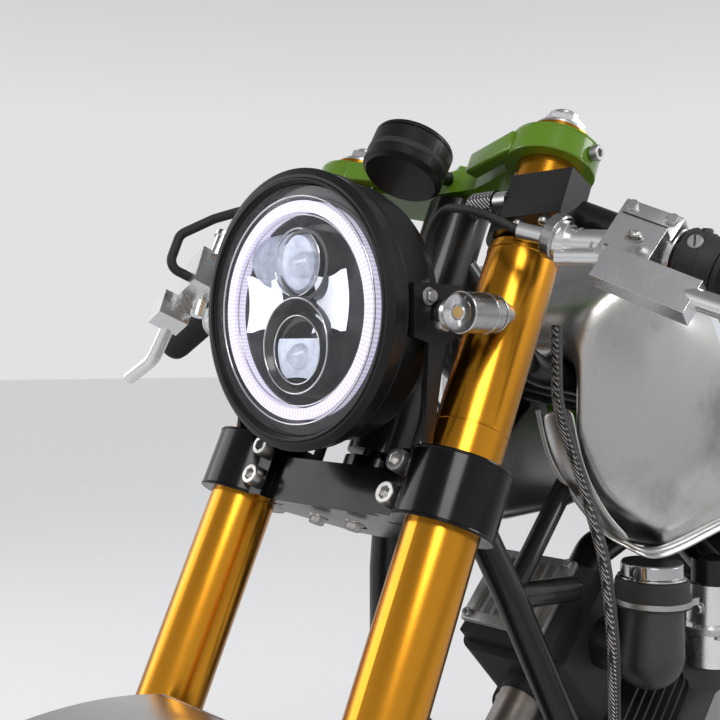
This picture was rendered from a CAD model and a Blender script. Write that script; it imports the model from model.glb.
import math
import bmesh
import bpy
from mathutils import Matrix, Quaternion, Vector


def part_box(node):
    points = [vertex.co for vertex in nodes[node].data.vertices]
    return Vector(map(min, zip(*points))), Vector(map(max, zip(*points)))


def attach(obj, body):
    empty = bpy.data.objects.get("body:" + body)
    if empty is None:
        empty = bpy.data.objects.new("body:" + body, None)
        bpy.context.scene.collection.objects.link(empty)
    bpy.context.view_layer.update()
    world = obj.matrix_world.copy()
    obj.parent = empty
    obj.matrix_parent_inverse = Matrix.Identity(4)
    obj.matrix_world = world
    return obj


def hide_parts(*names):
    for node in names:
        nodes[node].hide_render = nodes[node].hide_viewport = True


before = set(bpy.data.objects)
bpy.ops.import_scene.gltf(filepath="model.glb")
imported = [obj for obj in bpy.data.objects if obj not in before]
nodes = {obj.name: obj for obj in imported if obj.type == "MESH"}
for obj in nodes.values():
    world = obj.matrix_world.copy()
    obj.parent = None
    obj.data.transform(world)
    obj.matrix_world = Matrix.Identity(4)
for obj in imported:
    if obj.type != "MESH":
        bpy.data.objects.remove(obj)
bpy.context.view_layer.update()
scene = bpy.context.scene
mm = 0.001
lampAxis = 874.7  # height of the lamp's axis, mm
print("frame loaded,", len(nodes), "nodes")


def addObject(name, data):
    made = bpy.data.objects.new(name, data)
    scene.collection.objects.link(made)
    return made


# Camera at the photograph's view
cameraSetup = {
    "place": (1.0525, 0.5643, 0.8418),
    "heading": 225.256,  # degrees from +X
    "pitch": -0.253,
    "roll": 0.334,
    "lens": 50.68,
    "sensor": 36.0,
    "near": 0.02,
}


def aimCamera(setup):
    heading, pitch, roll = (math.radians(setup[key]) for key in ("heading", "pitch", "roll"))
    level = math.cos(pitch)
    onward = Vector((level * math.cos(heading), level * math.sin(heading), math.sin(pitch)))
    turn = onward.to_track_quat("-Z", "Y") @ Quaternion((0, 0, 1), roll)
    data = bpy.data.cameras.new("photoCamera")
    data.sensor_width = setup["sensor"]
    data.lens = setup["lens"]
    data.clip_start = setup["near"]
    scene.camera = addObject("photoCamera", data)
    scene.camera.matrix_world = Matrix.Translation(setup["place"]) @ turn.to_matrix().to_4x4()


aimCamera(cameraSetup)


class Wire:
    # A socket that takes part in plain arithmetic
    def __init__(self, nodeSet, socket):
        self.nodeSet = nodeSet
        self.socket = socket

    def maths(self, operation, first, second):
        return self.nodeSet.add("Math", {"operation": operation}, {0: first, 1: second})

    def __add__(self, other):
        return self.maths("ADD", self, other)

    def __sub__(self, other):
        return self.maths("SUBTRACT", self, other)

    def __mul__(self, other):
        return self.maths("MULTIPLY", self, other)

    def __radd__(self, other):
        return self.maths("ADD", other, self)

    def __rsub__(self, other):
        return self.maths("SUBTRACT", other, self)

    def __rmul__(self, other):
        return self.maths("MULTIPLY", other, self)


class NodeSet:
    # The nodes of one tree, added and linked by what they are given
    def __init__(self, tree):
        self.tree = tree

    def add(self, kind, settings=None, sockets=None, output=0):
        node = self.tree.nodes.new("ShaderNode" + kind)
        for key, value in (settings or {}).items():
            setattr(node, key, value)
        for key, value in (sockets or {}).items():
            if isinstance(value, Wire):
                self.tree.links.new(value.socket, node.inputs[key])
            else:
                node.inputs[key].default_value = value
        return Wire(self, node.outputs[output])

    def blend(self, factor, first, second):
        # A colour between two, as the factor goes from 0 to 1
        ends = [end if isinstance(end, Wire) else (*end, 1.0) for end in (first, second)]
        return self.add("Mix", {"data_type": "RGBA"}, {0: factor, 6: ends[0], 7: ends[1]}, 2)


finishes = {}


class Finish(NodeSet):
    # One material: its shader, and the nodes that vary it over the surface
    def __init__(self, name, settings):
        material = bpy.data.materials.new(name)
        material.use_nodes = True
        super().__init__(material.node_tree)
        self.shader = self.tree.nodes["Principled BSDF"]
        for key, value in settings.items():
            self.shader.inputs[key].default_value = value
        finishes[name] = material

    def feed(self, socket, wire):
        self.tree.links.new(wire.socket, self.shader.inputs[socket])

    def place(self, stretch=None):
        spot = self.add("TexCoord", output="Object")
        if stretch:
            spot = self.add("VectorMath", {"operation": "MULTIPLY"}, {0: spot, 1: stretch})
        return spot

    def grain(self, scale, detail=3.0, stretch=None, roughness=0.5):
        values = {"Vector": self.place(stretch), "Scale": scale, "Detail": detail, "Roughness": roughness}
        return self.add("TexNoise", {}, values)

    def band(self, value, low, high, start=0.0, end=1.0):
        values = {"Value": value, "From Min": low, "From Max": high, "To Min": start, "To Max": end}
        return self.add("MapRange", {"interpolation_type": "SMOOTHSTEP"}, values)

    def relief(self, height, depth, strength=1.0, rounding=0.0):
        values = {"Height": height, "Distance": depth, "Strength": strength}
        if rounding:
            values["Normal"] = self.add("Bevel", {"samples": 4}, {"Radius": rounding})
        self.feed("Normal", self.add("Bump", {}, values))


# Paints
paints = {
    # (colour, dust, roughness, coat, peel in mm)
    "frameBlack": ((0.006, 0.006, 0.0065), (0.03, 0.028, 0.025), 0.3, 0.35, 0.03),
    "yokeBlack": ((0.002, 0.002, 0.0022), (0.006, 0.006, 0.006), 0.16, 0.1, 0.03),
    "yokeGreen": ((0.105, 0.215, 0.012), (0.08, 0.16, 0.014), 0.22, 0.5, 0.03),
    "lampSatin": ((0.006, 0.006, 0.0065), (0.016, 0.016, 0.016), 0.42, 0.1, 0.05),
    "wheelBlack": ((0.009, 0.009, 0.009), (0.04, 0.036, 0.032), 0.36, 0.2, 0.05),
    "barrelBlack": ((0.018, 0.018, 0.019), (0.07, 0.06, 0.05), 0.5, 0.0, 0.1),
}


def paint(name, colour, dust, rough, coat, peel):
    finish = Finish(name, {"Coat Weight": coat, "Coat Roughness": 0.08, "Specular IOR Level": 0.22})
    cloud = finish.band(finish.grain(14.0, 5.0), 0.45, 0.75)
    fine = finish.grain(900.0, 2.0)
    finish.feed("Base Color", finish.blend(cloud * 0.35, colour, dust))
    finish.feed("Roughness", rough + cloud * 0.12 + fine * 0.04)
    finish.relief(fine, peel * mm, 0.4, 0.0006)


# Metals
metals = {
    # (bright colour, deep colour, roughness, scale, depth in mm, stretch, how uneven, rounded edge in mm)
    "goldAnodised": ((0.62, 0.27, 0.022), (0.50, 0.19, 0.012), 0.22, 120, 0.006, (1, 1, 14), 0.25, 0.0),
    "machinedAlloy": ((0.86, 0.865, 0.87), (0.6, 0.6, 0.61), 0.25, 180, 0.008, (1, 6, 1), 0.5),
    "castAlloy": ((0.40, 0.395, 0.385), (0.16, 0.155, 0.145), 0.5, 420, 0.3, (1, 1, 1), 0.5),
    "gunMetal": ((0.44, 0.44, 0.435), (0.28, 0.28, 0.275), 0.24, 160, 0.008, (1, 6, 1), 0.5),
    "copper": ((0.72, 0.34, 0.18), (0.42, 0.16, 0.08), 0.3, 160, 0.03, (1, 6, 1)),
    "darkAlloy": ((0.085, 0.085, 0.083), (0.04, 0.04, 0.038), 0.4, 300, 0.06, (1, 1, 1), 0.6),
    "springBlack": ((0.05, 0.05, 0.052), (0.02, 0.02, 0.02), 0.3, 200, 0.03),
    "bareSteel": ((0.55, 0.545, 0.535), (0.3, 0.29, 0.28), 0.33, 150, 0.01, (1, 8, 1)),
    "polishedSteel": ((0.72, 0.725, 0.73), (0.5, 0.5, 0.5), 0.1, 60, 0.01),
    "discSteel": ((0.5, 0.5, 0.505), (0.3, 0.3, 0.3), 0.3, 500, 0.03),
    "chainSteel": ((0.34, 0.31, 0.26), (0.07, 0.06, 0.05), 0.42, 260, 0.06),
    "pipeSteel": ((0.36, 0.335, 0.31), (0.14, 0.105, 0.08), 0.34, 70, 0.04, (1, 1, 5)),
}


def metal(name, bright, deep, rough, scale, depth, stretch=(1, 1, 1), uneven=1.0, rounding=0.7):
    finish = Finish(name, {"Metallic": 1.0})
    streak = finish.grain(scale, 4.0, stretch)
    cloud = finish.band(finish.grain(22.0, 6.0), 0.4, 0.72)
    shade = cloud * (0.55 * uneven) + streak * (0.25 * uneven)
    finish.feed("Base Color", finish.blend(shade, bright, deep))
    finish.feed("Roughness", rough - 0.06 * uneven + streak * (0.14 * uneven) + cloud * (0.1 * uneven))
    finish.relief(streak, depth * mm, 0.6, rounding * mm)


# Bare tank steel: hand-brushed in crossing directions and stained, with a painted panel on each side
tankLook = {
    "bright": (0.57, 0.565, 0.55),
    "stain": (0.20, 0.19, 0.175),
    "rough": 0.27,
    "band": (0.62, 0.66, 0.69),  # silver band along the panel's fore edge
    "stripe": (0.095, 0.235, 0.012),
    "line": (0.012, 0.012, 0.013),
    "panelFrom": 0.165,  # metres from the middle
    "panelEnd": -0.12,
    "panelFoot": 0.735,
    "panelTop": 0.895,
    "slant": -0.25,
    "slantHeight": 0.82,  # where the slanted edge crosses panelFrom
    "bandWide": 0.014,
    "lineFrom": 0.032,
    "lineWide": 0.008,
    "soft": 0.001,  # how soft the paint's edges are
}


def tankSteel():
    look = tankLook
    finish = Finish("tankSteel", {"Metallic": 1.0})
    across = finish.grain(90.0, 5.0, (1.0, 1.0, 9.0), 0.65)
    along = finish.grain(75.0, 5.0, (8.0, 1.0, 1.6), 0.65)
    choose = finish.band(finish.grain(7.0, 4.0), 0.42, 0.58)
    brush = across * choose + along * (1.0 - choose)
    stain = finish.band(finish.grain(9.0, 7.0, None, 0.62), 0.5, 0.78)
    steel = finish.blend(stain * 0.75 + brush * 0.12, look["bright"], look["stain"])
    spot = finish.place()
    ahead, height = (finish.add("SeparateXYZ", {}, {0: spot}, axis) for axis in ("X", "Z"))
    slant = ahead + (height - look["slantHeight"]) * look["slant"]

    def past(value, edge):
        return finish.band(value, edge, edge + look["soft"])

    tall = past(height, look["panelFoot"]) * (1.0 - past(height, look["panelTop"]))
    panel = tall * past(slant, look["panelEnd"])

    def behind(edge):
        return finish.band(slant, edge - 0.0006, edge, 1.0, 0.0) * panel

    painted = behind(look["panelFrom"])
    green = behind(look["panelFrom"] - look["bandWide"])
    lineEdge = look["panelFrom"] - look["lineFrom"]
    line = green * (past(slant, lineEdge - look["lineWide"]) - past(slant, lineEdge))
    shown = finish.blend(painted, steel, look["band"])
    shown = finish.blend(green, shown, look["stripe"])
    finish.feed("Base Color", finish.blend(line, shown, look["line"]))
    finish.feed("Metallic", 1.0 - 0.8 * painted)
    finish.feed("Roughness", (look["rough"] - 0.04 + brush * 0.12 + stain * 0.12) * (1.0 - 0.4 * painted))
    finish.feed("Coat Weight", painted * 0.6)
    finish.relief(brush * (1.0 - painted), 0.00003, 0.5)


# Rubbers and plastics
softs = {
    # (colour, dust, roughness, scale of the texture, its depth in mm)
    "tyreRubber": ((0.020, 0.020, 0.021), (0.05, 0.047, 0.043), 0.72, 700.0, 0.15),
    "blackRubber": ((0.014, 0.014, 0.014), (0.035, 0.033, 0.03), 0.6, 900.0, 0.1),
    "controlPlastic": ((0.016, 0.016, 0.017), (0.04, 0.04, 0.04), 0.46, 1300.0, 0.08),
    "lampInner": ((0.022, 0.023, 0.026), (0.03, 0.03, 0.033), 0.16, 900.0, 0.01),
}


def soft(name, colour, dust, rough, scale, depth):
    finish = Finish(name, {"Specular IOR Level": 0.45})
    cloud = finish.band(finish.grain(18.0, 5.0), 0.42, 0.75)
    fine = finish.grain(scale, 2.0)
    finish.feed("Base Color", finish.blend(cloud * 0.6, colour, dust))
    finish.feed("Roughness", rough + cloud * 0.1 + fine * 0.05)
    finish.relief(fine, depth * mm, 0.6, 0.0006)


# Braided hose: two sets of crossing strands, with white threads down one side
braidLook = {
    "dark": (0.008, 0.008, 0.008),
    "light": (0.55, 0.54, 0.53),
    "pitch": 205.0,
    "rough": 0.5,
    "litWay": (0.71, -0.70, 0.0),
}


def braid(look):
    finish = Finish("braidedHose", {"Specular IOR Level": 0.6})
    strands = []
    for lean in (1.0, -1.0):
        spot = finish.place((lean, 1.0, 1.0))
        wave = {"Vector": spot, "Scale": look["pitch"], "Distortion": 0.0, "Detail": 0.0}
        strands.append(finish.add("TexWave", {"bands_direction": "DIAGONAL"}, wave, 1))
    weave = strands[0] * strands[1]
    normal = finish.add("NewGeometry", output="Normal")
    lit = finish.add("VectorMath", {"operation": "DOT_PRODUCT"}, {0: normal, 1: look["litWay"]}, "Value")
    tracer = finish.band(weave, 0.40, 0.58) * finish.band(lit, -0.35, 0.15)
    finish.feed("Base Color", finish.blend(tracer, look["dark"], look["light"]))
    finish.feed("Roughness", look["rough"] + weave * 0.1)
    finish.relief(weave, 0.0004, 0.8)


# Seat leather: creased grain, worn a little lighter on top
leatherLook = {"colour": (0.030, 0.017, 0.011), "worn": (0.075, 0.042, 0.027), "rough": 0.46}


def leather(look):
    finish = Finish("seatLeather", {"Specular IOR Level": 0.5})
    cells = finish.add("TexVoronoi", {"feature": "SMOOTH_F1"}, {"Vector": finish.place(), "Scale": 620.0})
    creases = finish.grain(55.0, 6.0, None, 0.6)
    wear = finish.band(finish.grain(9.0, 4.0), 0.45, 0.7)
    finish.feed("Base Color", finish.blend(wear * 0.5, look["colour"], look["worn"]))
    finish.feed("Roughness", look["rough"] - 0.06 * wear + cells * 0.1)
    finish.relief(cells * 0.6 + creases * 0.5, 0.0006, 0.5)


# Clear parts: a lens that bends the light, and a nearly clear cover glass with a thin gloss
glassLook = {"lens": (0.97, 0.975, 0.985), "dim": (0.6, 0.62, 0.66), "pale": (0.7, 0.7, 0.72)}


def clearParts(look):
    finish = Finish("clearLens", {"Transmission Weight": 1.0, "IOR": 1.45, "Roughness": 0.02})
    haze = finish.grain(120.0, 2.0)
    finish.feed("Base Color", finish.blend(haze * 0.1, look["lens"], [part * 0.93 for part in look["lens"]]))
    finish = Finish("frontGlass", {"Roughness": 0.03, "Specular IOR Level": 0.35})
    haze = finish.grain(60.0, 2.0)
    finish.feed("Base Color", finish.blend(haze, look["dim"], look["pale"]))
    finish.feed("Alpha", 0.05 + haze * 0.04)


# Lit parts; shade is how dark their darker patches or teeth are
glows = {
    # (colour, strength, shade, teeth)
    "haloLight": ((0.76, 0.71, 0.92), 0.70, 0.72, 150.0),
    "ledLight": ((0.84, 0.87, 0.98), 0.78, 0.66),
    "ledPale": ((0.58, 0.63, 0.78), 0.6, 0.5),
    "ledGlass": ((0.42, 0.46, 0.58), 0.55, 0.3),
    "amberLight": ((0.62, 0.40, 0.12), 0.25),
    "tailRed": ((0.42, 0.012, 0.010), 0.25),
}


def glow(name, colour, strength, shade=0.8, teeth=0.0):
    finish = Finish(name, {"Roughness": 0.35, "Emission Strength": strength})
    patch = finish.grain(160.0, 2.0)
    if teeth:
        # Fine teeth round the lamp's axis
        parts = [
            finish.add("SeparateXYZ", {}, {0: finish.place()}, axis) - start
            for axis, start in (("Z", lampAxis * mm), ("Y", 0.0))]
        turn = finish.add("Math", {"operation": "ARCTAN2"}, {0: parts[0], 1: parts[1]})
        patch = finish.band(finish.add("Math", {"operation": "SINE"}, {0: turn * teeth}), -0.6, 0.9)
    shown = finish.blend(patch, [part * shade for part in colour], colour)
    finish.feed("Emission Color", shown)
    finish.feed("Base Color", shown)


for make, table in ((paint, paints), (metal, metals), (soft, softs), (glow, glows)):
    for name, look in table.items():
        make(name, *look)
tankSteel()
braid(braidLook)
leather(leatherLook)
clearParts(glassLook)
print("finishes made:", len(finishes))

# Which finish each node of the frame takes
nodeFinish = {
    "frameBlack": (
        "frame", "subframe", "manifold", "swingarm", "rear_caliper", "front_calipers", "clip_ons",
        "centre_stand"),
    "yokeBlack": ("lower_yoke",),
    "yokeGreen": ("top_yoke",),
    "lampSatin": ("headlight_shell", "headlight_rim", "lamp_brackets", "instrument"),
    "gunMetal": ("indicators",),
    "wheelBlack": ("front_rim", "rear_rim"),
    "barrelBlack": ("front_cylinder", "rear_cylinder"),
    "goldAnodised": ("fork_tubes",),
    "machinedAlloy": ("carburettor", "fuel_cap", "rearsets", "fork_caps", "clutch_lever", "brake_lever"),
    "castAlloy": ("engine_cases",),
    "darkAlloy": ("intake_elbow",),
    "bareSteel": ("front_axle", "rear_axle", "shocks", "rear_sprocket"),
    "polishedSteel": ("fork_legs",),
    "discSteel": ("front_discs", "rear_disc"),
    "chainSteel": ("chain",),
    "pipeSteel": ("exhaust_pipes", "silencer"),
    "tankSteel": ("fuel_tank", "tail_unit", "front_mudguard"),
    "tyreRubber": ("front_tyre", "rear_tyre"),
    "blackRubber": ("grips", "clutch_cable", "brake_hose"),
    "controlPlastic": ("switches",),
    "lampInner": ("lamp_unit",),
    "clearLens": ("lamp_lenses",),
    "haloLight": ("lamp_halo",),
    "tailRed": ("tail_light",),
    "seatLeather": ("seat_pad",),
    "braidedHose": ("loom_hose",),
}


def dress(piece, finishName):
    piece.data.materials.clear()
    piece.data.materials.append(finishes[finishName])


for finishName, members in nodeFinish.items():
    for member in members:
        dress(nodes[member], finishName)
print("nodes dressed")

# Floor and light
studio = {
    "floorSize": 30,
    "floorColour": (0.66, 0.66, 0.665),
    "floorGlow": 0.21,  # lifts the floor to the backdrop, for the camera alone
    "backColour": (0.76, 0.76, 0.77),
    "overhead": (0.20, 0.20, 0.21),  # the sky over the set, as gloss shows it
    "skyFrom": 0.22,
    "skyTo": 0.75,
    "fill": (0.62, 0.625, 0.64),
    "lamps": (
        # (name, place, size, power, colour)
        ("keyLamp", (2.4, 1.9, 2.8), 1.6, 50.0, (1.0, 0.98, 0.95)),
        ("rimLamp", (-1.6, 2.2, 2.2), 1.4, 32.0, (0.95, 0.97, 1.0)),
        ("fillLamp", (1.8, -2.6, 1.8), 2.2, 28.0, (1.0, 1.0, 1.0)),
    ),
    "aim": (0.25, 0.0, 0.7),
}


def buildFloor(look):
    mesh = bmesh.new()
    bmesh.ops.create_grid(mesh, x_segments=1, y_segments=1, size=look["floorSize"])
    data = bpy.data.meshes.new("studioFloor")
    mesh.to_mesh(data)
    mesh.free()
    floor = addObject("studioFloor", data)
    finish = Finish("studioFloor", {"Roughness": 0.7, "Specular IOR Level": 0.2, "Emission Strength": 1.0})
    colour = look["floorColour"]
    finish.feed("Base Color", finish.blend(finish.grain(3.0, 2.0), colour, [part * 1.03 for part in colour]))
    eye = finish.add("LightPath", output="Is Camera Ray")
    finish.feed("Emission Color", finish.blend(eye, (0, 0, 0), [look["floorGlow"]] * 3))
    dress(floor, "studioFloor")


def buildLight(look):
    for name, place, size, power, colour in look["lamps"]:
        lamp = bpy.data.lights.new(name, "AREA")
        lamp.shape = "DISK"
        lamp.size = size
        lamp.energy = power
        lamp.color = colour
        holder = addObject(name, lamp)
        holder.location = place
        holder.rotation_euler = (Vector(look["aim"]) - Vector(place)).to_track_quat("-Z", "Y").to_euler()
    # The backdrop is seen by the camera, through lenses and in gloss; all else gets the even fill
    scene.world = bpy.data.worlds.new("studioWorld")
    scene.world.use_nodes = True
    world = NodeSet(scene.world.node_tree)
    world.tree.nodes.clear()
    camera, lens, gloss = (
        world.add("LightPath", output=f"Is {ray} Ray") for ray in ("Camera", "Transmission", "Glossy"))
    seen = camera.maths("MAXIMUM", camera.maths("MAXIMUM", camera, lens), gloss)
    height = world.add("SeparateXYZ", {}, {0: world.add("TexCoord", output="Generated")}, "Z")
    limits = {"From Min": look["skyFrom"], "From Max": look["skyTo"]}
    rise = world.add("MapRange", {}, {"Value": height, **limits})
    sky = world.blend(rise, look["backColour"], look["overhead"])
    light = world.add("Background", {}, {"Color": world.blend(seen, look["fill"], sky)})
    end = world.tree.nodes.new("ShaderNodeOutputWorld")
    world.tree.links.new(light.socket, end.inputs["Surface"])


buildFloor(studio)
buildLight(studio)
scene.view_settings.view_transform = "Standard"
print("studio built")

# Directions, and the fork's own frame: its root is the lower yoke's foot
onward, crosswise, upright = Vector((1, 0, 0)), Vector((0, 1, 0)), Vector((0, 0, 1))
forkRoot = Vector((521.85, 0.0, 721.30))
forkUp = Vector((-0.42736, 0.0, 0.90408))
forkAhead = Vector((0.90408, 0.0, 0.42736))
legSide = 109.7
sideSigns = (1, -1)
toMetres = Matrix.Scale(mm, 4)


def forkPoint(height, side=0.0, ahead=0.0):
    return forkRoot + forkUp * height + forkAhead * ahead + crosswise * side


def lampPoint(ahead, side, height):
    return Vector((ahead, side, lampAxis + height))


def flipped(place, sign):
    return Vector((place[0], place[1] * sign, place[2]))


def facing(place, way):
    # A frame in millimetres at a place, with its Z along a direction
    return toMetres @ Matrix.Translation(place) @ Vector(way).to_track_quat("Z", "X").to_matrix().to_4x4()


def framed(place, along, upward):
    # A frame in millimetres with its X along one way and its Z near another
    first = Vector(along).normalized()
    second = Vector(upward).cross(first).normalized()
    turn = Matrix((first, second, first.cross(second))).transposed().to_4x4()
    return toMetres @ Matrix.Translation(place) @ turn


def turns(count, offset=0.0):
    return [2 * math.pi * (step + offset) / count for step in range(count)]


def swung(turn, first, second):
    # A direction that swings from the first toward the second
    return first * math.cos(turn) + second * math.sin(turn)


def aroundAxle(axle, reach, turn, side):
    # A place on a circle about a crosswise axle
    spot = axle + swung(turn, onward, upright) * reach
    return Vector((spot.x, side, spot.z))


def aroundPost(post, reach, turn):
    # A place on a circle about an upright axis
    return post + swung(turn, onward, crosswise) * reach


def axleOf(node):
    low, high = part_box(node)
    return Vector(((low[0] + high[0]) / 2, 0, (low[2] + high[2]) / 2)) / mm


def settle(made, body, finishName, slotName=None, replaced=None):
    # Gives a piece its finish, body and slot, and the node that it stands for
    dress(made, finishName)
    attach(made, body)
    if replaced:
        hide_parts(replaced)


def modify(made, kind, settings):
    modifier = made.modifiers.new(kind.lower(), kind)
    for key, value in settings.items():
        setattr(modifier, key, value)
    return modifier


boltShapes = {
    # (radius, height, flats), as shares of the bolt's radius
    "socket": ((1, 0), (1, 0.85), (0.9, 1), (0.62, 1, 6), (0.56, 0.94, 6), (0.56, 0.4, 6), (0, 0.4)),
    "hex": ((1.25, 0), (1.25, 0.2), (1, 0.2, 6), (1, 0.85, 6), (0.8, 1), (0, 1)),
}


def boltHead(kind, size):
    return [(radius * size, height * size, *flats) for radius, height, *flats in boltShapes[kind]]


pieces = []


class Piece:
    # A made piece. Its methods add shapes in millimetres, some of them on both sides of the machine.
    def __init__(self, name, body, finishName, smooth=35, both=False, slotName=None, replaced=None):
        self.name = name
        self.wear = (body, finishName, slotName, replaced)
        self.smooth = smooth
        self.signs = sideSigns if both else (1,)
        self.mesh = bmesh.new()
        self.sheetLook = None
        pieces.append(self)

    def loop(self, where, points):
        return [self.mesh.verts.new(where @ Vector(point)) for point in points]

    def join(self, loops, closed=False, around=True):
        # Faces between each loop of corners and the next; a loop of one is a pole
        for low, high in zip(loops, loops[1:] + loops[:1] if closed else loops[1:]):
            count = max(len(low), len(high))
            for step in range(count if around else count - 1):
                after = (step + 1) % count
                corners = [loop[place % len(loop)] for loop, place in (
                    (low, step), (low, after), (high, after), (high, step))]
                distinct = list(dict.fromkeys(corners))
                if len(distinct) > 2:
                    self.mesh.faces.new(distinct)

    def turn(self, profile, where, steps):
        # profile: (radius, height), with a third value where the section has flats
        loops = []
        for radius, height, *flats in profile:
            points = []
            for angle in turns(steps) if radius else (0.0,):
                reach = radius
                for count in flats:
                    half = math.pi / count
                    reach = radius * math.cos(half) / math.cos(angle % (2 * half) - half)
                points.append(aroundPost(upright * height, reach, angle))
            loops.append(self.loop(where, points))
        self.join(loops)

    def turned(self, *rows):
        # rows: (profile, place, way, steps)
        for profile, place, way, steps in rows:
            for sign in self.signs:
                self.turn(profile, facing(flipped(place, sign), flipped(way, sign)), steps)
        return self

    def bolts(self, *rows):
        # rows: (kind, radius, place, way)
        return self.turned(*[(boltHead(kind, radius), place, way, 24) for kind, radius, place, way in rows])

    def rings(self, *rows):
        # rows: (place, way, radius, thickness, steps, sides)
        for place, way, radius, thick, steps, sides in rows:
            section = [swung(tilt, onward, upright) * thick for tilt in turns(sides)]
            for sign in self.signs:
                where = facing(flipped(place, sign), flipped(way, sign))
                self.join([self.loop(where, [
                    aroundPost(upright * spot.z, radius + spot.x, turn) for spot in section])
                    for turn in turns(steps)], True)
        return self

    def block(self, where, size, bevel):
        # A block with worn edges, centred on the frame
        fresh = bmesh.ops.create_cube(self.mesh, size=1.0)["verts"]
        bmesh.ops.scale(self.mesh, vec=Vector(size), verts=fresh)
        edges = list({edge for vert in fresh for edge in vert.link_edges})
        rounded = bmesh.ops.bevel(
            self.mesh, geom=fresh + edges, offset=bevel, segments=2, affect="EDGES", profile=0.6)
        everything = set(rounded["verts"]) | {vert for vert in fresh if vert.is_valid}
        bmesh.ops.transform(self.mesh, matrix=where, verts=list(everything))

    def tube(self, points, radius, sides=8):
        # A round bar along points
        spots = [Vector(point) for point in points]
        side = (spots[1] - spots[0]).orthogonal()
        loops = []
        for index, spot in enumerate(spots):
            way = (spots[min(index + 1, len(spots) - 1)] - spots[max(index - 1, 0)]).normalized()
            side = (side - way * side.dot(way)).normalized()
            other = way.cross(side)
            ring = [spot + swung(turn, side, other) * radius for turn in turns(sides)]
            loops.append(self.loop(toMetres, ring))
        self.join(loops)
        self.mesh.faces.new(list(reversed(loops[0])))
        self.mesh.faces.new(loops[-1])

    def sheet(self, rows, levels=0, thickness=0.0):
        # A sheet through rows of points; with levels it is rounded and given its thickness
        self.join([self.loop(toMetres, row) for row in rows], around=False)
        if levels:
            self.sheetLook = (levels, thickness)

    def finish(self):
        data = bpy.data.meshes.new(self.name)
        self.mesh.normal_update()
        self.mesh.to_mesh(data)
        self.mesh.free()
        data.shade_smooth()
        data.set_sharp_from_angle(angle=math.radians(self.smooth))
        made = addObject(self.name, data)
        settle(made, *self.wear)
        if self.sheetLook:
            levels, thickness = self.sheetLook
            modify(made, "SOLIDIFY", {"thickness": thickness * mm, "offset": 0})
            modify(made, "SUBSURF", {"levels": levels, "render_levels": levels})


def makePieces(body, table, both=False):
    # A piece for each entry, from its rows of turned shapes, rings and bolts
    for name, look in table.items():
        piece = Piece(name, body, look["finish"], look.get("smooth", 35), both)
        piece.turned(*look.get("turned", ()))
        piece.rings(*look.get("rings", ()))
        piece.bolts(*look.get("bolts", ()))


# Yokes and fork: pinch bolts, clamp edges, rings on the tubes, dust seals and caps
makePieces("fork", {
    "yoke_bolts": {"finish": "bareSteel", "bolts": (
        ("socket", 8.5, forkPoint(39, 75, 22), forkAhead),
        ("socket", 8.5, forkPoint(14, 75, 22), forkAhead),
        ("hex", 6.5, (518, 20, 716), -forkUp),
        ("socket", 6.0, forkPoint(302, 146), crosswise),
        ("hex", 4.5, forkPoint(313, 48, -32), forkUp),
        ("socket", 3.8, forkPoint(222, 128, 38), -forkUp),
        ("socket", 3.8, forkPoint(222, 150, 38), -forkUp))},
    "clamp_edges": {"finish": "yokeBlack", "rings": [
        (forkPoint(height, legSide), forkUp, 36.2, 1.4, 64, 8) for height in (1.2, 48.8)]},
    "top_clamp_edges": {"finish": "yokeGreen", "rings": [
        (forkPoint(height, legSide), forkUp, 34.2, 1.2, 64, 8) for height in (292.4, 311.6)]},
    "fork_rings": {"finish": "goldAnodised", "turned": (
        (((27, 0), (27.35, 0.3), (27.35, 1.3), (27, 1.6)), forkPoint(74, legSide), forkUp, 72),
        (((27, 0), (27.5, 0.5), (27.5, 3.5), (27, 4)), forkPoint(211, legSide), forkUp, 72),
        (((26, 0), (28.6, 2), (28.6, 13), (27.2, 15)), forkPoint(-209, legSide), forkUp, 72))},
    "fork_seals": {"finish": "blackRubber", "turned": (
        (((21.6, -9), (24.5, -9), (26.5, -6), (26.5, -1), (24, 0)),
            forkPoint(-210, legSide), forkUp, 64),)},
    "fork_cap_tops": {"finish": "machinedAlloy", "turned": (
        (((21, 4), (21, 5), (19, 6.5), (17.5, 6.5, 6), (17.5, 14, 6), (15.5, 15.5, 6), (13, 15.5)),
            forkPoint(322, legSide), forkUp, 48),
        (((9.5, 18), (9.5, 19.5), (8, 20.6), (3.4, 20.6), (3.4, 19), (0, 19)),
            forkPoint(321, legSide), forkUp, 40))},
}, both=True)
makePieces("fork", {
    "stem_nut": {"finish": "machinedAlloy", "turned": (
        (((19, 0), (19, 3), (16, 4.5), (16, 9, 6), (13, 11, 6), (7, 11), (7, 6), (0, 6)),
            forkPoint(313, 0, -30), forkUp, 48),)},
    "block_ferrule": {"finish": "machinedAlloy", "turned": (
        (((8.5, 0), (8.5, 11), (7.5, 12), (0, 12)), forkPoint(240, 115.5, 38), -crosswise, 48),)},
    "block_sleeve": {"finish": "braidedHose", "turned": (
        (((9.6, 12), (9.6, 33), (8, 36), (0, 36)), forkPoint(240, 115.5, 38), -crosswise, 48),)},
})

# The top yoke's arms: a wall from each clamp toward the stem
armLook = {"inner": (302, 38, 8), "outer": (302, 92, 27), "size": (60, 12, 18.6), "bevel": 2.2}
arms = Piece("top_yoke_arms", "fork", "yokeGreen", 60)
for sign in sideSigns:
    inner, outer = (flipped(forkPoint(*armLook[key]), sign) for key in ("inner", "outer"))
    arms.block(framed((inner + outer) / 2, outer - inner, forkUp), armLook["size"], armLook["bevel"])
print("fork dressed")

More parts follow.
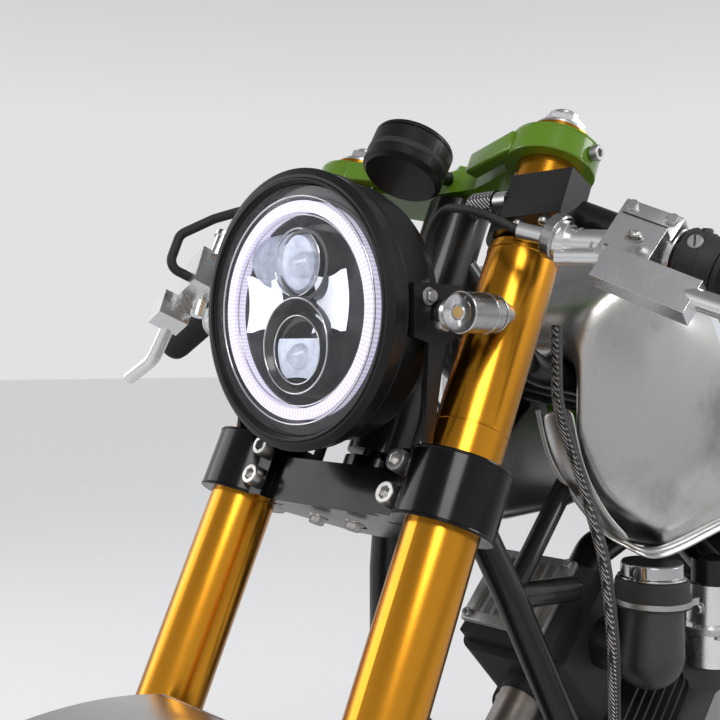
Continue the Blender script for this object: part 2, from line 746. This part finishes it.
# Headlight: reflectors, two projectors, chrome edges, the front glass and the indicators
lampLook = {
    "reflectors": ((4, 50, 548, 557), (-33, -62, 549, 557)),  # inner and outer side, how far ahead each is
    "tall": 44,
    "waist": 0.16,
    "dip": 5.0,
    "wall": 74.0,  # inside radius of the lamp
    "upper": (-8.0, 37.0, 24.0),  # sideways, height over the axis, radius
    "lower": (-4.0, -26.0, 35.0),
    "lensWide": 24.0,
    "lensTall": 14.5,
    "lensBow": 3.5,
    "grid": (9, 13),  # rows and columns of points
}


def gridPoints(point, *values):
    downs, acrosses = ([step / (count - 1) for step in range(count)] for count in lampLook["grid"])
    return [[point(down, across, *values) for across in acrosses] for down in downs]


def reflectorPoint(share, across, inner, outer, back, front):
    # Waisted, dished, and kept inside the lamp's wall
    waist = 1.0 - lampLook["waist"] * math.sin(math.pi * min(across * 1.2, 1.0))
    height = 5 + (share - 0.5) * lampLook["tall"] * waist + 1.5 * across
    limit = math.sqrt(max(lampLook["wall"] ** 2 - height ** 2, 1.0))
    spread = max(-limit, min(limit, inner + (outer - inner) * across))
    dip = lampLook["dip"] * math.sin(math.pi * share) * (1.0 - 0.4 * across)
    return lampPoint(back + (front - back) * across ** 1.6 - dip, spread, height)


def lowerLensPoint(down, share):
    side, height, radius = lampLook["lower"]
    across, rise = 2 * share - 1, 1 - 2 * down
    spread = across * (lampLook["lensWide"] - 7.0 * down ** 2.2) * (1 - 0.1 * rise ** 4)
    bow = lampLook["lensBow"] * (1 - across ** 2) * (1 - rise ** 2)
    height += lampLook["lensTall"] * rise - 1.5 * across ** 2 * down - 9
    return lampPoint(554 + bow, side + spread, height)


reflectors = Piece("lamp_reflectors", "fork", "ledLight", 60)
for values in lampLook["reflectors"]:
    reflectors.sheet(gridPoints(reflectorPoint, *values))
Piece("lamp_lower_lens", "fork", "ledPale", 60).sheet(gridPoints(lowerLensPoint))
side, height, radius = lampLook["upper"]
oval = facing(lampPoint(554.5, side + 4, height - 1), (0.93, 0.36, 0))
oval = oval @ Matrix.Diagonal((20.5, 13.0, 1.0, 1.0))
Piece("lamp_upper_lens", "fork", "ledPale", 60).turn(
    ((1.0, 0), (0.96, 0.5), (0.7, 2.4), (0.35, 3.4), (0, 3.8)), oval, 48)
dome = [(radius * math.cos(step * math.pi / 20), 9 * math.sin(step * math.pi / 20)) for step in range(10)]
lowSide, lowHeight, lowRadius = lampLook["lower"]
makePieces("fork", {
    "lamp_upper_glass": {"finish": "ledGlass", "smooth": 60, "turned": (
        (dome + [(0, 9)], lampPoint(546, side - 6, height), onward, 48),
        (((26, 0), (24, 3), (14, 7), (0, 8)), lampPoint(541, side - 28, height + 4), (0.8, 0.5, 0), 40))},
    "lamp_bowl": {"finish": "lampInner", "smooth": 50, "turned": (
        (((26, 0), (32, 5), (34.5, 11), (35.6, 11.6), (36.4, 10), (35, 4)),
            lampPoint(546, lowSide, lowHeight), onward, 72),
        (((27, 0), (25, 6), (25.6, 8), (26.6, 6), (28, 0)),
            lampPoint(548, lowSide, lowHeight - 3), onward, 72))},
    "lamp_edges": {"finish": "polishedSteel", "smooth": 60, "rings": (
        (lampPoint(557.6, lowSide, lowHeight), onward, lowRadius + 0.6, 0.7, 96, 8),
        (lampPoint(555.8, lowSide, lowHeight - 3), onward, 25.6, 0.6, 96, 8),
        (lampPoint(549, side - 4, height), onward, radius + 1.6, 0.9, 72, 8),
        (lampPoint(558.5, 0, 0), onward, 70.5, 0.55, 120, 8),
        (lampPoint(562.5, 0, 0), onward, 84.0, 0.7, 120, 8))},
    "lamp_glass": {"finish": "frontGlass", "smooth": 60, "turned": (
        (((0, 1.6), (30, 1.45), (60, 0.9), (86, 0.1), (92, -0.6)), lampPoint(563.6, 0, 0), onward, 96),)},
    "lamp_seams": {"finish": "lampSatin", "smooth": 60, "rings": (
        (lampPoint(565.6, 0, 0), onward, 95.5, 1.3, 120, 10),
        (lampPoint(549, 0, 0), onward, 101.6, 1.2, 120, 10))},
})
indicator = lampPoint(534.1, 135, -4)
makePieces("fork", {
    "lamp_bolts": {"finish": "bareSteel", "bolts": (
        ("socket", 6.5, lampPoint(519, 104.2, -10), crosswise),
        ("hex", 5.0, lampPoint(531, 104.2, 8), crosswise))},
    "indicator_bushes": {"finish": "gunMetal", "turned": (
        (((8.2, 0), (10.5, 1), (10.5, 6), (9, 8), (6.5, 8), (5.2, 14)),
            lampPoint(516.6, 104.2, -4), crosswise, 40),)},
    "indicator_lenses": {"finish": "clearLens", "smooth": 60, "turned": (
        (((13.6, 0.1), (13.6, 1.6), (11.5, 4.3), (6, 6.1), (0, 6.7)), indicator, onward, 48),)},
    "indicator_rings": {"finish": "polishedSteel", "smooth": 60, "rings": (
        (indicator, onward, 13.7, 0.8, 64, 8),
        (indicator, onward, 4.0, 0.7, 40, 8),
        (lampPoint(510, 135, -4), onward, 14.0, 0.5, 64, 6),
        (lampPoint(498, 135, -4), onward, 12.8, 0.5, 64, 6)), "turned": (
        (((4.2, 0.1), (8.5, 0.5), (13.2, 0.2)), indicator, onward, 48),)},
    "indicator_lights": {"finish": "amberLight", "smooth": 60, "turned": (
        (((3.6, 0.3), (3.6, 1.2), (2.6, 1.6), (0, 1.8)), indicator, onward, 32),)},
}, both=True)
print("headlight dressed")

# Fuel tank: a smooth skin over the solid's form, a seam flange, and the lip that narrows its nose
tankSkin = {
    "voxel": 0.005,
    "skins": (("fuel_tank", "tank_skin", 26), ("tail_unit", "tail_skin", 12)),  # node, piece, rounds
    "flangePath": (
        # (ahead, sideways, height) along the lower seam's left half
        (309, 40, 792), (303.6, 50, 749), (292, 70, 713), (277, 85, 689), (270, 102, 679), (262, 120, 672),
        (237, 130, 674), (167, 138, 687), (60, 140, 700), (-120, 120, 712), (-228, 88, 742)),
    "flangeFrom": 15,  # the nose, before this point, has its own lip
    "flangeReach": (-9, 5),
    "flangeThick": 3.0,
    "lipOuter": ((309, 40, 792), (303.6, 50, 749), (292, 70, 713), (277, 85, 689), (268, 100, 680)),
    "lipInner": ((306, 74, 800), (306, 78, 765), (298, 88, 728), (284, 100, 700), (272, 110, 686)),
    "lipShares": (0.0, 0.33, 0.66, 1.0),
    "lipBulge": 3.0,
    "lipThick": 2.0,
}


def roundedCopy(node, name, rounds):
    # A copy of a plain solid with its edges rounded, in the same place
    data = nodes[node].data.copy()
    data.name = name
    made = addObject(name, data)
    modify(made, "REMESH", {"mode": "VOXEL", "voxel_size": tankSkin["voxel"], "use_smooth_shade": True})
    modify(made, "SMOOTH", {"factor": 0.5, "iterations": rounds})
    return made


def curvePoints(points, parts):
    # Points along a smooth curve through the given ones
    spots = [Vector(point) for point in points]
    made = []
    for index, (start, end) in enumerate(zip(spots, spots[1:])):
        before = spots[max(index - 1, 0)]
        after = spots[min(index + 2, len(spots) - 1)]
        for step in range(parts):
            share = step / parts
            made.append(0.5 * (
                2 * start + (end - before) * share
                + (2 * before - 5 * start + 4 * end - after) * share ** 2
                + (3 * start - before - 3 * end + after) * share ** 3))
    return made + [spots[-1]]


for node, name, rounds in tankSkin["skins"]:
    settle(roundedCopy(node, name, rounds), "frame", "tankSteel", replaced=node)
flange = Piece("tank_flange", "frame", "tankSteel", 60)
seam = Piece("tank_seam", "frame", "bareSteel", 60, slotName="tank_steel")
lip = Piece("tank_nose_lip", "frame", "tankSteel", 60)
for sign in sideSigns:
    line = curvePoints([flipped(point, sign) for point in tankSkin["flangePath"]], 6)
    away = Vector((0.25, sign * 0.8, -0.75)).normalized()
    edge = line[tankSkin["flangeFrom"]:]
    rows = [[spot + away * reach for spot in edge] for reach in tankSkin["flangeReach"]]
    flange.sheet(rows, 1, tankSkin["flangeThick"])
    seam.tube([spot - Vector((0, sign * 1.5, -2.5)) for spot in line], 2.6)
    outer, inner = ([flipped(point, sign) for point in tankSkin[key]] for key in ("lipOuter", "lipInner"))
    rows = []
    for share in tankSkin["lipShares"]:
        bulge = onward * tankSkin["lipBulge"] * math.sin(math.pi * share)
        rows.append([first.lerp(second, share) + bulge for first, second in zip(outer, inner)])
    lip.sheet(rows, 2, tankSkin["lipThick"])
makePieces("frame", {
    "cap_rings": {"finish": "polishedSteel", "smooth": 60, "rings": (
        ((110, 0, 946), upright, 36.6, 1.6, 72, 8),
        ((110, 0, 951.6), upright, 26, 0.9, 64, 8))},
    "cap_bolts": {"finish": "bareSteel", "turned": [
        (((9, 0), (9, 1.6), (8, 2.4), (3, 2.4), (3, 1.2), (0, 1.2)), (110, 0, 951.6), upright, 40)] + [
        (boltHead("socket", 3.0), aroundPost(Vector((110, 0, 951.4)), 31, turn), upright, 20)
        for turn in turns(6, 0.5)]},
})
print("tank dressed")

# Seat: a swollen pad with sewn channels and a stitched edge, in metres
seatLook = {
    "rounds": 8,
    "shrink": 0.004,
    "pressure": 4.0,
    "stiffness": 25,
    "frames": 20,
    "cap": 0.007,  # the most that the cloth may swell
    "fill": 0.8,
    "channels": (-0.300, -0.345, -0.390, -0.435, -0.480, -0.525),
    "channelWide": 0.0045,
    "channelDeep": 0.0045,
    "stitchSide": 0.082,
    "stitchWide": 0.003,
    "stitchDeep": 0.0025,
    "topDeep": 0.062,  # how far below the top the channels fade out
    "fade": 0.02,
}


def bakeMesh(pad):
    # Applies what the modifiers make
    bpy.context.view_layer.update()
    made = bpy.data.meshes.new_from_object(pad.evaluated_get(bpy.context.evaluated_depsgraph_get()))
    pad.modifiers.clear()
    pad.data = made


def swell(pad, look):
    rests = [vert.co.copy() for vert in pad.data.vertices]
    cloth = modify(pad, "CLOTH", {}).settings
    cloth.use_pressure = True
    cloth.uniform_pressure_force = look["pressure"]
    cloth.effector_weights.gravity = 0.0
    cloth.tension_stiffness = cloth.compression_stiffness = look["stiffness"]
    for frameNumber in range(1, look["frames"] + 1):
        scene.frame_set(frameNumber)
    bakeMesh(pad)
    scene.frame_set(1)
    for vert, rest in zip(pad.data.vertices, rests):
        move = vert.co - rest
        if move.length > look["cap"]:
            vert.co = rest + move.normalized() * look["cap"]


def sew(pad, look):
    # Channels sink into the top only, and the foot stays on the rails
    low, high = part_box("seat_pad")
    for vert in pad.data.vertices:
        spot = vert.co
        over = max(0.0, min(1.0, (spot.z - (high[2] - look["topDeep"])) / look["fade"]))
        for channel in look["channels"]:
            gap = (spot.x - channel) / look["channelWide"]
            spot.z -= look["channelDeep"] * math.exp(-gap * gap) * over
        edge = min(abs(abs(spot.y) - look["stitchSide"]) / look["stitchWide"], 3.0)
        spot.z -= look["stitchDeep"] * math.exp(-edge * edge) * over
        spot.z = max(spot.z, low[2])


seat = roundedCopy("seat_pad", "seat_cover", seatLook["rounds"])
modify(seat, "DISPLACE", {"strength": -seatLook["shrink"], "mid_level": 0.0})
bakeMesh(seat)
swell(seat, seatLook)
modify(seat, "SUBSURF", {"levels": 1, "render_levels": 1})
bakeMesh(seat)
sew(seat, seatLook)
seat.data.shade_smooth()
settle(seat, "frame", "seatLeather", replaced="seat_pad")
print("seat dressed")

# Wheels: tyres with cut grooves, disc buttons and drilling, hub bolts, rim beads and valves
wheelLook = {
    "front_wheel": {"tyre": "front_tyre", "rimHalf": 44.5, "pitches": 34, "discs": ((73, 150), (-73, 150))},
    "rear_wheel": {"tyre": "rear_tyre", "rimHalf": 57.5, "pitches": 32, "discs": ((-84, 120),)},
}
tyreShape = {
    "bead": 218.0,
    "wall": 13,
    "flanks": ((1.00, 0.54), (0.88, 0.82), (0.52, 0.955), (0.0, 1.0)),  # shares of half width and height
    "treadFrom": 0.62,
    "deep": 3.2,
    "perPitch": 12,
}
discTrim = {
    "face": 2.45,
    "button": ((7, 0), (7, 1.2), (6, 2), (3.2, 2), (3.2, 0.6), (0, 0.6)),
    "hole": ((3.1, 0), (2.9, 0.25), (0, 0.08)),
    "holes": 30,
    "valve": ((4.2, 0), (4.2, 12), (3.2, 14), (3.2, 24), (4.0, 24.5), (4.0, 31), (0, 32.5)),
}


def isCut(turn, across, pitches):
    if abs(across) < 0.06 or abs(across) > 0.90:
        return False
    shift = 0.5 if across > 0 else 0.0
    return (turn * pitches / (2 * math.pi) + shift + abs(across) ** 1.3 * 1.1) % 1.0 < 0.17


def makeTyre(body, look):
    low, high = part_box(look["tyre"])
    axle = axleOf(look["tyre"])
    halfWidth = (high[1] - low[1]) / 2 / mm
    radius = (high[2] - low[2]) / 2 / mm
    bead = tyreShape["bead"]
    half = [(look["rimHalf"], bead), (look["rimHalf"], bead + tyreShape["wall"])]
    half += [(share * halfWidth, bead + (radius - bead) * tall) for share, tall in tyreShape["flanks"]]
    whole = [(side, reach, 0) for side, reach in half]
    whole += [(-side, reach, 0) for side, reach in reversed(half[:-1])]
    section = [
        (max(-halfWidth, min(halfWidth, spot.x)), min(radius, spot.y)) for spot in curvePoints(whole, 6)]
    treadFrom = bead + (radius - bead) * tyreShape["treadFrom"]
    tyre = Piece(look["tyre"] + "_tread", body, "tyreRubber", 28, replaced=look["tyre"])
    loops = []
    for turn in turns(look["pitches"] * tyreShape["perPitch"]):
        points = []
        for side, reach in section:
            cut = reach > treadFrom and isCut(turn, side / halfWidth, look["pitches"])
            points.append(aroundAxle(axle, reach - (tyreShape["deep"] if cut else 0.0), turn, side))
        loops.append(tyre.loop(toMetres, points))
    tyre.join(loops, True)
    bmesh.ops.recalc_face_normals(tyre.mesh, faces=tyre.mesh.faces)


def makeWheelTrim(body, look):
    axle = axleOf(look["tyre"])
    buttons, hubs = (Piece(body + name, body, "bareSteel") for name in ("_disc_buttons", "_hub_bolts"))
    holes = Piece(body + "_disc_holes", body, "blackRubber", 60)
    for side, radius in look["discs"]:
        way = crosswise * math.copysign(1, side)
        outer = side + discTrim["face"] * way.y
        for turn in turns(10, 0.5):
            buttons.turned((discTrim["button"], aroundAxle(axle, radius - 37, turn, outer), way, 28))
        for ring in range(3):
            reach = radius - 9 * (ring + 1)
            for turn in turns(discTrim["holes"], ring / 3):
                holes.turned((discTrim["hole"], aroundAxle(axle, reach, turn, outer), way, 14))
        for turn in turns(5):
            hubs.bolts(("socket", 5.5, aroundAxle(axle, 30, turn, outer), way))
    edge = crosswise * (look["rimHalf"] - 1.0)
    Piece(body + "_rim_edges", body, "machinedAlloy", 60).rings(
        *[(axle + edge * sign, crosswise, 232.0, 1.6, 160, 8) for sign in sideSigns])
    valvePlace = axle + Vector((0, 12, 212))
    Piece(body + "_valve", body, "blackRubber").turned((discTrim["valve"], valvePlace, (0, 0.25, -1), 24))


for body, look in wheelLook.items():
    makeTyre(body, look)
    makeWheelTrim(body, look)
print("wheels dressed")

# Handlebar controls, placed along the left bar and flipped to the right
barLook = {"low": 18, "back": 16, "clamp": (254, 109.7, 32)}
low, back = math.radians(barLook["low"]), math.radians(barLook["back"])
outward = swung(low, swung(back, crosswise, -forkAhead), -forkUp)
forward = swung(back, forkAhead, crosswise)


def barPoint(distance, ahead=0.0, up=0.0):
    return forkPoint(*barLook["clamp"]) + outward * distance + forward * ahead + forkUp * up


buttonShape = ((4.2, 0), (4.2, 3.4), (3.4, 4.4), (0, 4.6))
buttonRows = []
for distance, degrees in ((149, 35), (160, 35), (154, -20)):
    away = swung(math.radians(degrees), forkUp, -forward)
    buttonRows.append((buttonShape, barPoint(distance) + away * 17.5, away, 28))
makePieces("fork", {
    "grip_ribs": {"finish": "blackRubber", "smooth": 60, "rings": [
        (barPoint(180 + 4.2 * rib), outward, 16.4, 0.9, 40, 6) for rib in range(25)]},
    "switch_seams": {"finish": "controlPlastic", "smooth": 60, "rings": [
        (barPoint(distance), outward, 19.0, 0.8, 48, 6) for distance in (142.5, 155, 166.5)]},
    "switch_buttons": {"finish": "controlPlastic", "smooth": 60, "turned": buttonRows},
}, both=True)
makePieces("fork", {
    "adjuster_wheel": {"finish": "gunMetal", "turned": (
        (((6, 0), (15, 0.4), (16.2, 1.6, 22), (16.2, 8.4, 22), (15, 9.6), (6, 10)),
            barPoint(52, 26, -33), outward, 88),
        (((7.5, 0), (9.5, 0.5, 6), (9.5, 6, 6), (7.5, 6.5)), barPoint(94, 25, -30), outward, 36)), "rings": [
        (barPoint(distance, 24, -28), outward, 7.6, 0.8, 40, 6) for distance in (66, 72, 86)]},
    "lever_bushing": {"finish": "copper", "turned": (
        (((5, 0), (6.4, 0.5), (6.4, 11), (5, 11.5), (0, 11.5)), barPoint(109, 28, -40), forkUp, 36),)},
})

# Lever caps: a block on each perch with a groove and two screws, and the switch's screw with its slot
capLook = {
    "size": (44, 19, 17),
    "bevel": 1.6,
    "groove": (34, 1.1, 0.5),
    "screwSlot": (8.2, 1.3, 0.6),
    "slotBevel": 0.1,
    "screw": ((4.4, 0), (4.4, 2.2), (3.6, 3.0), (0, 3.0)),
    "screws": (-15, 15),
}
screws = Piece("control_screws", "fork", "bareSteel", both=True).turned(
    (((5.2, 0), (5.2, 1.8), (4.4, 2.6), (0, 2.6)), barPoint(151, 18, 3), forward, 28),
    (boltHead("hex", 4.6), barPoint(118, 44, -22), forkUp, 24))
screwSlots = Piece("screw_slots", "fork", "blackRubber", 60)
caps = Piece("lever_caps", "fork", "machinedAlloy")
for sign in sideSigns:
    perch = framed(flipped(barPoint(117, 13, 6), sign), flipped(outward, sign), flipped(forward, sign))
    caps.block(perch, capLook["size"], capLook["bevel"])
    middle = perch @ Matrix.Translation((-2, -1.5 * sign, 8.6))
    screwSlots.block(middle, capLook["groove"], capLook["slotBevel"])
    for distance in capLook["screws"]:
        screws.turn(capLook["screw"], perch @ Matrix.Translation((distance, 4.5 * sign, 8.4)), 28)
    slotFrame = facing(flipped(barPoint(151, 20.5, 3), sign), flipped(forward, sign))
    screwSlots.block(slotFrame, capLook["screwSlot"], capLook["slotBevel"])

# Instrument: bezel, plain dial with ticks, and the rubber at its foot
gaugeLook = {"centre": (290, 0, 45), "face": 13.2, "ticks": 40, "sweep": 270, "tickFace": 13.9, "reach": 27.4}
gauge = forkPoint(*gaugeLook["centre"])
normal = Vector((-0.5, 0.0, 0.866)).normalized()
face = gauge + normal * gaugeLook["face"]
makePieces("fork", {
    "gauge_bezel": {"finish": "lampSatin", "turned": (
        (((33.8, -2), (34.0, 0), (33.4, 1.4), (31.0, 1.4), (30.2, 0.2), (30.2, -1)), face, normal, 96),)},
    "gauge_dial": {"finish": "lampInner", "turned": (
        (((30.4, 0), (24, 0.2), (23.6, 0.5), (4, 0.5), (3.6, 1.2), (0, 1.3)), face, normal, 72),)},
    "gauge_foot": {"finish": "blackRubber", "turned": (
        (((34.1, 0), (34.4, 1), (34.4, 4), (34.1, 5)), gauge - normal * 8, normal, 72),)},
})
ticks = Piece("gauge_ticks", "fork", "machinedAlloy", 60)
dialFrame = facing(gauge + normal * gaugeLook["tickFace"], normal)
for step in range(gaugeLook["ticks"]):
    turn = math.radians(gaugeLook["sweep"] * (step / (gaugeLook["ticks"] - 1) - 0.5))
    length = 3.4 if step % 5 == 0 else 1.8
    spoke = Matrix.Rotation(turn, 4, "Z") @ Matrix.Translation((gaugeLook["reach"] - length / 2, 0, 0))
    ticks.block(dialFrame @ spoke, (length, 0.55, 0.2), 0.05)

# Intake: rubber boot, clamps, chrome neck and the carburettor's fittings
intakeLook = {"top": Vector((240, 112, 632)), "carb": Vector((112, 102, 596)), "band": 34.2}
top, carb, band = intakeLook["top"], intakeLook["carb"], intakeLook["band"]
makePieces("frame", {
    "intake_boot": {"finish": "blackRubber", "turned": (
        (((32.3, -9), (33.4, -8), (33.4, 2), (32.4, 5), (32.4, 12), (31.2, 15), (28.5, 15.6)),
            top, upright, 72),)},
    "intake_neck": {"finish": "polishedSteel", "turned": (
        (((29.2, 15.5), (29.8, 16.2), (29.8, 17.4), (27.2, 18.6), (27, 28.5), (26, 29.4)),
            top, upright, 72),)},
    "carburettor_fittings": {"finish": "bareSteel", "bolts": [
        ("hex", 6.0, carb - upright * 52, -upright),
        ("hex", 8.0, carb + Vector((0, 20.5, 12)), crosswise),
        ("hex", 5.0, carb + Vector((21, 0, 4)), onward)] + [
        ("socket", 3.2, aroundPost(carb - upright * 20, 25.5, turn), -upright) for turn in turns(4, 0.5)]},
})
clamps = Piece("intake_clamps", "frame", "bareSteel").turned(
    (((band - 1, -2.6), (band, -2.2), (band, 2.2), (band - 1, 2.6)), top - upright * 4, upright, 72),
    (((28.6, 0), (29.2, 0.8), (29.2, 5.2), (28.6, 6)), carb - upright * 19.6, upright, 72))
clamps.block(facing(top + Vector((-0.62 * band, 0.82 * band, -4)), upright), (12, 6, 6), 0.8)
print("controls and intake dressed")

# Engine: cover plates with their bolts and gaskets, rocker covers, and the plug on each cylinder
engineLook = {
    "crank": (40, 380),  # ahead, height
    "leans": (45, -30),
    "covers": (
        # (ahead, height, outer face, radius, bolts)
        (44, 350, 121, 84, 8),
        (0, 340, -125, 92, 10),
        (132, 360, -119, 56, 6)),
    "rocker": (82, 90, 7),
    "rib": (64, 4, 5),
    "ribGap": 11,
    "plug": ((11, 0), (11, 3, 6), (8, 4), (6.5, 16), (7.5, 17), (7.5, 26), (0, 27)),
}


def cylinderPoint(upward, distance, ahead=0.0, side=0.0):
    x, z = engineLook["crank"]
    return Vector((x, side, z)) + upward * distance + crosswise.cross(upward) * ahead


def coverShape(radius):
    shares = ((0.72, 0), (0.72, 1.6), (0.69, 2.8), (0.3, 3.2), (0.28, 1.2), (0, 1.2))
    return [(radius * share, height) for share, height in shares]


plates = Piece("cover_plates", "frame", "machinedAlloy")
gaskets = Piece("cover_gaskets", "frame", "blackRubber", 60)
engineBolts = Piece("engine_bolts", "frame", "bareSteel")
for x, z, outer, radius, count in engineLook["covers"]:
    way = crosswise * math.copysign(1, outer)
    centre = Vector((x, outer, z))
    gaskets.rings((centre - way * 12, crosswise, radius + 0.2, 0.9, 96, 6))
    plates.turned((coverShape(radius), centre, way, 80))
    for turn in turns(count, 0.5):
        engineBolts.bolts(("socket", 4.4, aroundAxle(centre, radius - 8, turn, outer), way))
    engineBolts.bolts(("hex", 7.5, centre + way * 1.2, way))
rocker = Piece("rocker_covers", "frame", "castAlloy")
for lean in engineLook["leans"]:
    upward = swung(math.radians(lean), upright, onward)
    head = framed(cylinderPoint(upward, 344), upward.cross(crosswise), upward)
    rocker.block(head, engineLook["rocker"], 2)
    for rib in range(-3, 4):
        place = head @ Matrix.Translation((0, rib * engineLook["ribGap"], 4.5))
        rocker.block(place, engineLook["rib"], 1.2)
    for ahead in sideSigns:
        for side in sideSigns:
            engineBolts.bolts(
                ("socket", 4.4, cylinderPoint(upward, 347, 35 * ahead, 39 * side), upward),
                ("hex", 5.0, cylinderPoint(upward, 219, 53.36 * ahead, 57.66 * side), upward))
    plates.turned((engineLook["plug"], cylinderPoint(upward, 268, 0, 58), (0, 1, 0.25), 32))

# Rear shocks: damper, coil, collars and eyes stand for the plain stepped solid
shockLook = {
    "foot": (-628.0, 139.0, 377.3),
    "head": (-533.0, 139.0, 757.0),
    "turns": 9,
    "perTurn": 24,
    "coil": 24.4,
    "wire": 4.3,
    "coilFrom": 52.0,
    "coilTo": 62.0,  # from the head
    "eye": ((7, -6.5), (12, -6.5), (13, -5.5), (13, 5.5), (12, 6.5), (7, 6.5), (6.4, 4), (6.4, -4)),
    "lower": ((0, 14), (9, 14), (9, 30), (20, 32), (28.6, 40), (28.6, 46), (26, 48), (16.5, 48)),
    "upper": (
        # (radius, distance from the head)
        (16.5, 120), (15.5, 118), (6.5, 118), (6.5, 58), (27.5, 58), (28.6, 56), (28.6, 50), (21, 46),
        (21, 16), (14, 13), (0, 13)),
}
springs = Piece("shock_springs", "frame", "springBlack", 60)
bodies = Piece("shock_bodies", "frame", "machinedAlloy", slotName="bare_steel", replaced="shocks")
for sign in sideSigns:
    foot, head = (flipped(shockLook[key], sign) for key in ("foot", "head"))
    length = (head - foot).length
    way = (head - foot).normalized()
    across = way.cross(crosswise)
    steps = shockLook["turns"] * shockLook["perTurn"]
    line = []
    for step in range(steps + 1):
        turn = 2 * math.pi * step / shockLook["perTurn"]
        rise = shockLook["coilFrom"] + (length - shockLook["coilTo"] - shockLook["coilFrom"]) * step / steps
        line.append(foot + way * rise + swung(turn, crosswise, across) * shockLook["coil"])
    springs.tube(line, shockLook["wire"], 10)
    damper = shockLook["lower"] + tuple((radius, length - gap) for radius, gap in shockLook["upper"])
    bodies.turned((damper, foot, way, 56), *[(shockLook["eye"], end, crosswise, 48) for end in (foot, head)])

# Mudguard: beads along its edges and ends, and the stay bolts
guardLook = {
    "side": 68,
    "reach": 275,
    "ends": (40.4, 103.6),  # degrees round the axle
    "edgeFrom": 41,
    "edgeSweep": 62,
    "section": ((68, 275), (68, 293), (39, 309.5), (-39, 309.5), (-68, 293), (-68, 275)),
    "bead": 1.9,
    "bolts": (50, 94),
}
axle = axleOf("front_tyre")
edges = Piece("mudguard_edges", "fork", "polishedSteel", 60)
edgeTurns = [math.radians(guardLook["edgeFrom"] + guardLook["edgeSweep"] * step / 32) for step in range(33)]
lines = [
    [aroundAxle(axle, guardLook["reach"], turn, sign * guardLook["side"]) for turn in edgeTurns]
    for sign in sideSigns]
lines += [
    [aroundAxle(axle, reach, math.radians(degrees), side) for side, reach in guardLook["section"]]
    for degrees in guardLook["ends"]]
for line in lines:
    edges.tube(line, guardLook["bead"])
Piece("mudguard_bolts", "fork", "bareSteel", both=True).bolts(*[
    ("hex", 4.5, aroundAxle(axle, 284, math.radians(degrees), 70), crosswise)
    for degrees in guardLook["bolts"]])

# Silencer bands, and the tail light's surround and lenses
bandLook = {
    "start": Vector((-250, -162, 172)),
    "end": Vector((-660, -194, 262)),
    "bands": ((72, 43.2, 1.3), (180, 43.4, 1.3), (190, 43.4, 1.3), (348, 43.2, 1.3), (419, 29.5, 2.2)),
}
way = (bandLook["end"] - bandLook["start"]).normalized()
Piece("silencer_bands", "frame", "polishedSteel", 60).rings(*[
    (bandLook["start"] + way * distance, way, radius, thick, 80, 8)
    for distance, radius, thick in bandLook["bands"]])
low, high = (Vector(corner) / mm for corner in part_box("tail_light"))
surround = Piece("tail_surround", "frame", "lampSatin", 60)
corners = [(low.y, low.z), (high.y, low.z), (high.y, high.z), (low.y, high.z)]
for ends in zip(corners, corners[1:] + corners[:1]):
    surround.tube([(low.x + 4, side, height) for side, height in ends], 1.8)
tailLenses = Piece("tail_lenses", "frame", "tailRed", 60)
for row in (0.25, 0.75):
    for column in range(7):
        place = (low.x, low.y + (high.y - low.y) * (column + 0.5) / 7, low.z + (high.z - low.z) * row)
        tailLenses.turned((((3.4, -1), (3.0, 0.4), (0, 0.9)), place, -onward, 20))
for piece in pieces:
    piece.finish()
print("engine, shocks and trim dressed:", len(pieces), "pieces")
